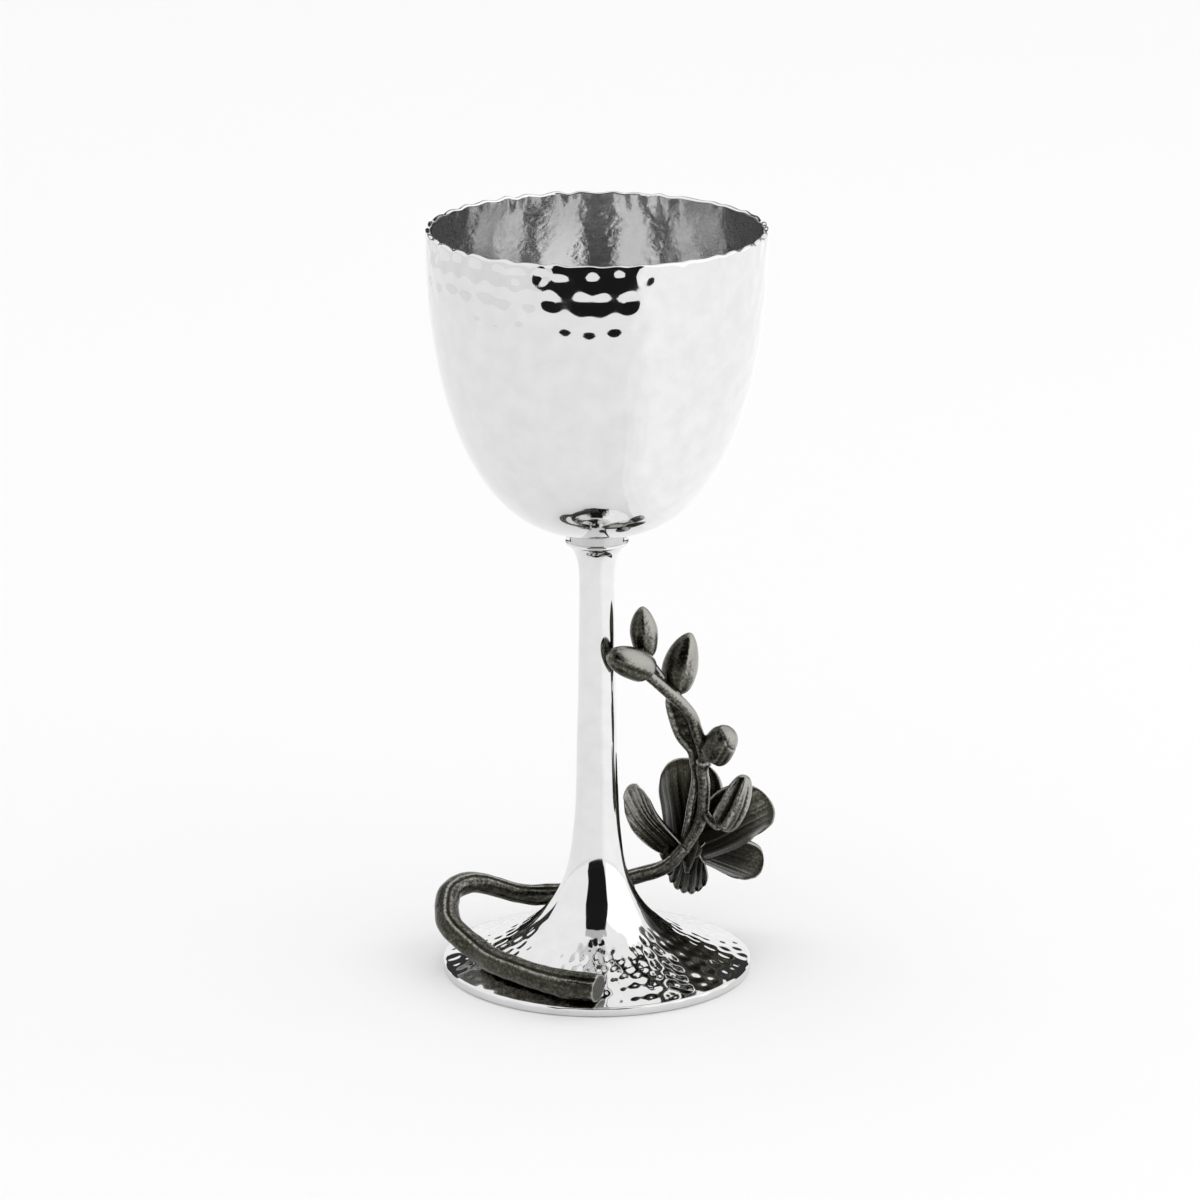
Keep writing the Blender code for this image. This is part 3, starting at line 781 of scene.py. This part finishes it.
def wrinkled(path, turn):
    """Rings and lengthwise seams, as on a young stem."""
    run = np.arange(len(path))[:, None] * TUBE_SPACING / SPRAY_UNIT
    around = np.stack(np.broadcast_arrays(np.cos(turn), np.sin(turn), run), -1).reshape(-1, 3)
    rings = noise_at(around * SHOOT_RING_STRETCH, 1.0, 5).reshape(len(path), len(turn))
    lumps = noise_at(around * SHOOT_LUMP_STRETCH, 1.0, 6).reshape(rings.shape)
    angle, width, amount = SHOOT_SEAM
    return 1 + SHOOT_RINGS * rings + SHOOT_LUMPS * lumps + amount * bump(turn, angle, width)


def make_casting(material):
    """Branch, shoots and buds, joined by one skin. Returns the branch's thin end."""
    stops = [on_foot(i, *stop) for i, stop in enumerate(BRANCH_ROUTE)]
    route = even(spline(stops, CURVE_STEPS), TUBE_SPACING)
    root = route[-1, :3]
    branch = tube(route, BRANCH_SIDES, branch_swell)
    end = branch[0].mean(0)
    near = np.clip(1 - TUBE_SPACING * np.arange(len(route)) / CUT_FADE, 0, 1)[:, None]
    branch[..., 0] += near * (CUT_LENGTH + CUT_SLANT * (branch[..., 1] - end[1]))
    bodies = [skin(branch)]
    for places, radius in ((MAIN_SHOOT, MAIN_SHOOT_RADIUS), (SIDE_SHOOT, SIDE_SHOOT_RADIUS)):
        path = spline(root + np.array(places) * SPRAY_UNIT, CURVE_STEPS)
        stop = np.arange(len(path)) / CURVE_STEPS
        node = np.exp(-(((stop - SHOOT_NODE) / SHOOT_NODE_LENGTH) ** 2))
        thick = radius * (1 + SHOOT_NODE_SWELL * node)
        path = even(np.column_stack([path, thick]), TUBE_SPACING)
        bodies.append(skin(tube(path, SHOOT_SIDES, wrinkled)))
    bodies.append(web_body(root))
    for bud in BUDS.values():
        bodies.append(skin(bud_rings(root, *bud)))
    mesh = one_skin("orchid_casting", *join(bodies))
    # Patina and wear, with a painted highlight on the sides that face the light
    mark_wear_and_painted_highlight(mesh, CASTING_WEAR, CASTING_PAINTED_HIGHLIGHT)
    add_piece("orchid_casting", mesh, "orchid_branch", material)
    return root


def bud_rings(root, places, stalk_share, radius, bluntness, folds, wrap):
    """A bare stalk that swells into a bud and closes at its tip.

    folds run along the bud as (angle, width in degrees, share of its radius). wrap is where one
    petal's edge crosses it, as a share of its length.
    """
    path = spline(root + np.array(places) * SPRAY_UNIT, BUD_STEPS)
    where = np.linspace(0, 1, len(path))
    share = np.clip((where - stalk_share) / (1 - stalk_share), 0, BUD_TIP)
    belly = 1 - np.abs(2 * share ** BUD_BELLY_SHIFT - 1) ** bluntness
    reach = radius * np.maximum(belly, 0) ** (1 / bluntness)
    reach += BUD_STALK_RADIUS * (1 - share) ** BUD_STALK_FADE

    def folded(path, turn):
        along = np.clip(share * BUD_FOLD_RISE, 0, 1)[:, None]
        swell = 1 + along * sum(amount * bump(turn, angle, width) for angle, width, amount in folds)
        if wrap is not None:
            edge = share[:, None] - wrap - BUD_WRAP_SLANT * np.cos(turn - BUD_WRAP_TURN)
            fade = np.exp(-np.maximum(edge, 0) / BUD_WRAP_FADE)
            swell = swell - BUD_WRAP * (edge > 0) * fade
        return swell

    return tube(np.column_stack([path, reach]), BRANCH_SIDES, folded)


def web_body(root):
    """The thin web of metal that fills the gap between the two shoots."""
    height = np.linspace(*WEB_HEIGHTS, WEB_ROWS)
    edges = []
    for places in (SIDE_SHOOT, MAIN_SHOOT):
        path = spline(places, CURVE_STEPS)
        edges.append(np.stack([np.interp(height, path[:, 2], column) for column in path.T], -1))
    share = np.linspace(0, 1, WEB_COLUMNS)[None, :, None]
    sheet = edges[0][:, None] * (1 - share) + edges[1][:, None] * share
    lumps = noise_at(sheet.reshape(-1, 3), WEB_LUMP_SIZE, 3).reshape(sheet.shape[:2])
    sheet[..., 1] += WEB_LUMP * lumps
    half = np.array((0.0, WEB_THICKNESS / 2, 0.0))
    front, back = (root + (sheet + side * half) * SPRAY_UNIT for side in (-1, 1))
    return sheet_body(front, back)


def one_skin(name, points, faces):
    """Join overlapping closed bodies into one skin by a fine voxel grid."""
    mesh = new_mesh(name, points * UNITS_PER_METRE, faces)
    thing = bpy.data.objects.new(name, mesh)
    bpy.context.scene.collection.objects.link(thing)
    remesh = thing.modifiers.new("one_skin", "REMESH")
    remesh.mode = "VOXEL"
    remesh.voxel_size = CASTING_VOXEL * UNITS_PER_METRE
    shown = bpy.context.evaluated_depsgraph_get()
    joined = bpy.data.meshes.new_from_object(thing.evaluated_get(shown))
    bpy.data.objects.remove(thing)
    joined.name = name
    places = read_vectors(joined.vertices, "co") / UNITS_PER_METRE
    joined.vertices.foreach_set("co", places.ravel())
    joined.update()
    return joined


def read_vectors(items, what):
    """One vector of each item of a mesh."""
    values = np.empty(len(items) * 3)
    items.foreach_get(what, values)
    return values.reshape(-1, 3)


def mark_wear_and_painted_highlight(mesh, flat, painted_highlight):
    """Store how far each point stands proud of its smoothed surroundings, for the wear on raised
    edges, together with a painted highlight.

    flat is the value of a point that stands level with its surroundings. The last argument sets a
    painted highlight on the side of the raised parts that faces the light on the right and above,
    fading out low down near the foot.
    """
    points = read_vectors(mesh.vertices, "co")
    normals = read_vectors(mesh.vertex_normals, "vector")
    edges = np.empty(len(mesh.edges) * 2, int)
    mesh.edges.foreach_get("vertices", edges)
    one, other = edges.reshape(-1, 2).T
    count = np.bincount(edges, minlength=len(points))[:, None]
    smooth = points.copy()
    for _ in range(RELIEF_ROUNDS):
        total = np.zeros_like(smooth)
        np.add.at(total, one, smooth[other])
        np.add.at(total, other, smooth[one])
        smooth = 0.5 * smooth + 0.5 * total / count
    proud = ((points - smooth) * normals).sum(1) / RELIEF_SPAN
    wear_and_painted_highlight = mesh.attributes.new("wear_and_painted_highlight", "FLOAT", "POINT")
    # Painted highlight: the sides that face the light on the right and above are made lighter,
    # fading out low down near the foot
    towards = normals @ unit(np.array(PAINTED_HIGHLIGHT_SIDE))
    bright = painted_highlight * np.clip(PAINTED_HIGHLIGHT_SLOPE * towards - PAINTED_HIGHLIGHT_LIMIT, 0, 1)
    bright *= np.clip((points[:, 2] - PAINTED_HIGHLIGHT_FROM) / PAINTED_HIGHLIGHT_RISE, 0, 1)
    wear_and_painted_highlight.data.foreach_set("value", np.clip(flat + RELIEF_WEAR * proud + bright, 0, 1))


def petal_body(root, seed, places, half_width, curl, ribs, rib_height, vein_height):
    """A thick curved petal with a rounded outline, narrower towards the flower's heart.

    Ribs fan out from the heart, with fine uneven veins between them and a rolled edge.
    """
    path = spline(root + np.array(places) * SPRAY_UNIT, PETAL_STEPS)
    facing = unit(np.array(FLOWER_FACING))
    steps = np.linspace(0, 1, len(path))

    def at(share):
        return np.stack([np.interp(share, steps, column) for column in path.T], -1)

    a = np.linspace(-1, 1, PETAL_ROWS)[:, None]
    b = np.linspace(-1, 1, PETAL_COLUMNS)[None, :]
    length = (a * np.sqrt(1 - b * b / 2) + 1) / 2
    side = b * np.sqrt(1 - a * a / 2)
    before = at(np.clip(length - PETAL_BEND_STEP, 0, 1))
    ahead = unit(at(np.clip(length + PETAL_BEND_STEP, 0, 1)) - before)
    normal = unit(facing - (ahead @ facing)[..., None] * ahead)
    across = np.cross(ahead, normal)
    width = half_width * (PETAL_BASE_WIDTH + PETAL_WIDENING * length)
    rim = np.maximum(abs(a), abs(b))
    rolled = np.clip((rim - PETAL_ROLL_START) / (1 - PETAL_ROLL_START), 0, 1)
    dish = curl * width * side ** 2 - PETAL_ROLL * rolled ** 2
    grid = np.stack([side * VEIN_GRID[0], length * VEIN_GRID[1], 0 * side], -1).reshape(-1, 3)
    veins = noise_at(grid, 1.0, seed) + FINE_VEINS * noise_at(grid * FINE_VEIN_GRID, 1.0, seed + 9)
    lumps = noise_at(grid * PETAL_LUMP_GRID, 1.0, seed + 4).reshape(side.shape)
    bent = np.pi * ribs * (side + PETAL_RIB_WANDER * lumps)
    rib = rib_height * (np.abs(np.cos(bent)) - PETAL_RIB_LEVEL)
    rib = rib * np.clip(length * PETAL_RIB_RISE, 0, 1)
    crease = PETAL_CREASE * np.exp(-((side / PETAL_CREASE_WIDTH) ** 2)) * (1 - rim ** 2)
    rise = dish - rib + crease + PETAL_LUMP * lumps + vein_height * veins.reshape(side.shape)
    middle = at(length) + across * (width * side)[..., None] + normal * rise[..., None]
    half = PETAL_THICKNESS / 2 * (1 - PETAL_EDGE_THINNING * rim ** 2)
    return sheet_body(middle + normal * half[..., None], middle - normal * half[..., None])


def sheet_body(front, back):
    """Join two matching grids of points round their edges into one closed body."""
    rows, columns = front.shape[:2]
    count = rows * columns
    here = np.arange(count).reshape(rows, columns)
    quads = np.stack([here[:-1, :-1], here[:-1, 1:], here[1:, 1:], here[1:, :-1]], -1)
    quads = quads.reshape(-1, 4)
    faces = quads.tolist() + (quads[:, ::-1] + count).tolist()
    edge = [*here[0], *here[1:, -1], *here[-1, -2::-1], *here[-2:0:-1, 0]]
    for i, j in zip(edge, edge[1:] + edge[:1]):
        faces.append([i, i + count, j + count, j])
    return np.vstack([front.reshape(-1, 3), back.reshape(-1, 3)]), faces


def ball(centre, radius):
    """Points and faces of a ball."""
    fall = np.linspace(BALL_POLE, np.pi - BALL_POLE, BALL_ROWS)
    rings, _, _ = lathe(np.sin(fall), np.cos(fall), BALL_COLUMNS)
    return skin(centre + radius * rings)


def make_flower(material, root):
    """Petals, sepals, heart, lip and stalk, which overlap at the heart."""
    bodies = [petal_body(root, i, *petal[:-1]) for i, petal in enumerate(PETALS.values())]
    wear = [petal[-1] for petal in PETALS.values()]
    heart = root + np.array(FLOWER_CENTRE) * SPRAY_UNIT
    bodies.append(ball(heart, FLOWER_HEART_RADIUS))
    bodies.append(ball(root + np.array(LIP_CENTRE) * SPRAY_UNIT, LIP_RADIUS))
    stalk = spline(np.array(FLOWER_STALK) * SPRAY_UNIT, CURVE_STEPS) + (*root, 0.0)
    bodies.append(skin(tube(even(stalk, TUBE_SPACING), SHOOT_SIDES, wrinkled)))
    wear += [HEART_WEAR, LIP_WEAR, FLOWER_STALK_WEAR]
    lightness = np.concatenate([np.full(len(body[0]), w) for body, w in zip(bodies, wear)])
    mesh = new_mesh("orchid_flower", *join(bodies))
    reach = np.linalg.norm(read_vectors(mesh.vertices, "co") - heart, axis=1)
    # Darker towards the flower's heart and lighter towards the petals' outer ends, with a painted
    # highlight on the sides that face the light
    mark_wear_and_painted_highlight(mesh, lightness + np.interp(reach, PETAL_TONE_REACH, PETAL_TONE), FLOWER_PAINTED_HIGHLIGHT)
    add_piece("orchid_flower", mesh, "orchid_branch", material)


def feed(tree, value, socket):
    """Set a socket to a value, or link it to another node's socket."""
    if isinstance(value, bpy.types.NodeSocket):
        tree.links.new(value, socket)
    else:
        socket.default_value = value


def add_node(tree, kind, settings=(), **inputs):
    """A node with its settings and inputs, where an input is a value or another node's socket."""
    node = tree.nodes.new(kind)
    for key, value in dict(settings).items():
        setattr(node, key, value)
    for key, value in inputs.items():
        feed(tree, value, node.inputs[key.replace("_", " ")])
    return node


def calculate(tree, kind, operation, terms, clamp=False):
    """The result of a maths node whose terms are values or sockets."""
    node = add_node(tree, kind, {"operation": operation})
    for term, socket in zip(terms, node.inputs):
        feed(tree, term, socket)
    if clamp:
        node.use_clamp = True
    return node.outputs[0]


def cloudy(tree, place, scale, detail):
    """Smooth noise over a surface."""
    node = add_node(tree, "ShaderNodeTexNoise", Vector=place, Scale=scale, Detail=detail)
    return node.outputs["Fac"]


def ramp(tree, value, stops):
    """A colour ramp of grey or coloured stops."""
    node = tree.nodes.new("ShaderNodeValToRGB")
    tree.links.new(value, node.inputs["Fac"])
    points = node.color_ramp.elements
    while len(points) < len(stops):
        points.new(0.5)
    for point, (place, colour) in zip(points, stops):
        point.position = place
        point.color = (*colour, 1.0) if isinstance(colour, tuple) else (colour,) * 3 + (1.0,)
    return node.outputs["Color"]


def start_metal(name, attribute):
    """A metal material with its tree, shader, place on the object and a value its mesh stores."""
    material = bpy.data.materials.new(name)
    material.use_nodes = True
    tree = material.node_tree
    shader = tree.nodes["Principled BSDF"]
    shader.inputs["Metallic"].default_value = 1.0
    place = add_node(tree, "ShaderNodeTexCoord").outputs["Object"]
    stored = add_node(tree, "ShaderNodeAttribute", {"attribute_name": attribute}).outputs["Fac"]
    return material, tree, shader, place, stored


def finish_metal(tree, shader, colour, roughness, height, strength, distance):
    """Join colour, roughness and a bump of the given height to a metal's shader."""
    bumps = add_node(tree, "ShaderNodeBump", Height=height, Strength=strength, Distance=distance)
    tree.links.new(colour, shader.inputs["Base Color"])
    tree.links.new(roughness, shader.inputs["Roughness"])
    tree.links.new(bumps.outputs["Normal"], shader.inputs["Normal"])


def polished_metal():
    """Bright metal with a faint uneven polish."""
    material, tree, shader, place, inside = start_metal("polished_metal", "inside")
    haze = cloudy(tree, place, HAZE_SCALE, 3.0)
    brightness = calculate(tree, "ShaderNodeMath", "MULTIPLY_ADD", (inside, 1.0, haze))
    metallic = calculate(tree, "ShaderNodeMath", "MULTIPLY_ADD", (inside, INSIDE_DULLING, 1.0))
    tree.links.new(metallic, shader.inputs["Metallic"])
    stretched = calculate(tree, "ShaderNodeVectorMath", "MULTIPLY", (place, STROKE_STRETCH))
    strokes = cloudy(tree, stretched, STROKE_SCALE, 3.0)
    finish_metal(
        tree, shader, ramp(tree, brightness, BRIGHT_STOPS), ramp(tree, haze, POLISH_STOPS),
        strokes, inside, STROKE_HEIGHT,
    )
    return material


def dark_metal():
    """Oxidised casting: dark in its hollows, lighter with wear on what stands proud, and lighter
    still where a highlight is painted on the sides that face the light.
    """
    material, tree, shader, place, wear_and_painted_highlight = start_metal("dark_metal", "wear_and_painted_highlight")
    patina = cloudy(tree, place, PATINA_SCALE, 4.0)
    # The ramp's input holds patina, wear and a painted highlight on the sides that face the light
    terms = (patina, PATINA_SHARE, wear_and_painted_highlight)
    lightness = calculate(tree, "ShaderNodeMath", "MULTIPLY_ADD", terms, clamp=True)
    finish_metal(
        tree, shader, ramp(tree, lightness, WEAR_STOPS), ramp(tree, patina, PATINA_STOPS),
        cloudy(tree, place, GRAIN_SCALE, 4.0), GRAIN_STRENGTH, GRAIN_HEIGHT,
    )
    return material


def plain_material(name, colour, glow=0.0):
    """A matt colour, or a card that only glows."""
    material = bpy.data.materials.new(name)
    material.use_nodes = True
    shader = material.node_tree.nodes["Principled BSDF"]
    shader.inputs["Base Color"].default_value = (*colour, 1.0)
    shader.inputs["Roughness"].default_value = 0.9
    shader.inputs["Specular IOR Level"].default_value = 0.0
    shader.inputs["Emission Color"].default_value = (1.0, 1.0, 1.0, 1.0)
    shader.inputs["Emission Strength"].default_value = glow
    return material


def add_stage(name, points, faces, material):
    """A floor, backdrop or card, which is no part of the object."""
    mesh = bpy.data.meshes.new(name)
    mesh.from_pydata([tuple(point) for point in points], [], faces)
    mesh.materials.append(material)
    thing = bpy.data.objects.new(name, mesh)
    bpy.context.scene.collection.objects.link(thing)
    return thing


def only_in_reflections(card):
    card.visible_camera = False
    card.visible_diffuse = False
    card.visible_shadow = False


def make_floor():
    corners = [(x * FLOOR_HALF, y * FLOOR_HALF, 0) for x, y in ((-1, -1), (1, -1), (1, 1), (-1, 1))]
    add_stage("floor", corners, [(0, 1, 2, 3)], plain_material("pale_floor", FLOOR_COLOUR))


def add_card(name, glow, rows):
    """A card through rows of (left, right, y, z), seen in reflections alone."""
    points, faces = [], []
    for i, (left, right, y, z) in enumerate(rows):
        points += [(left, y, z), (right, y, z)]
        if i:
            faces.append((2 * i - 2, 2 * i - 1, 2 * i + 1, 2 * i))
    only_in_reflections(add_stage(name, points, faces, plain_material(name, BLACK, glow)))


def make_cards():
    """The studio round the cup: a dark slot in front, darker and lighter panels beside it."""
    for card in CARDS:
        add_card(*card)
    for i, glow in enumerate(SHEET_GLOWS):
        near, front = SHEET_NEAR + SHEET_NEAR_STEP * i, SHEET_FRONT + SHEET_FRONT_STEP * i
        height = SHEET_HEIGHT + SHEET_LIFT * i
        edge = zip((front, near, near), SHEET_ROWS)
        add_card("right_sheet", glow, [(left, SHEET_RIGHT, y, height) for left, y in edge])


def make_soft_light():
    """A wide soft light on the right, which also lights the floor."""
    material = plain_material("soft_light", BLACK, LIGHT_GLOW)
    add_stage("soft_light", LIGHT_CORNERS, [(0, 1, 2, 3)], material).visible_camera = False


def make_world():
    world = bpy.data.worlds.new("studio")
    bpy.context.scene.world = world
    world.use_nodes = True
    sky = world.node_tree.nodes["Background"]
    sky.inputs["Color"].default_value = (1.0, 1.0, 1.0, 1.0)
    sky.inputs["Strength"].default_value = SKY_GLOW


def make_camera():
    """A long lens in front of the cup and a little above it."""
    camera = bpy.data.objects.new("camera", bpy.data.cameras.new("camera"))
    bpy.context.scene.collection.objects.link(camera)
    camera.location = (AXIS[0], AXIS[1] - CAMERA_BACK, CAMERA_HEIGHT)
    camera.rotation_euler = (math.pi / 2 - CAMERA_TILT, 0.0, 0.0)
    camera.data.lens = CAMERA_LENS
    camera.data.sensor_width = CAMERA_SENSOR
    camera.data.shift_x = CAMERA_SHIFT
    camera.data.clip_start = CAMERA_CLIP
    bpy.context.scene.camera = camera
    bpy.context.scene.view_settings.view_transform = "Standard"


bright = polished_metal()
dark = dark_metal()
make_bowl(bright)
make_foot(bright)
spray_root = make_casting(dark)
make_flower(dark, spray_root)
make_floor()
make_cards()
make_soft_light()
make_world()
make_camera()
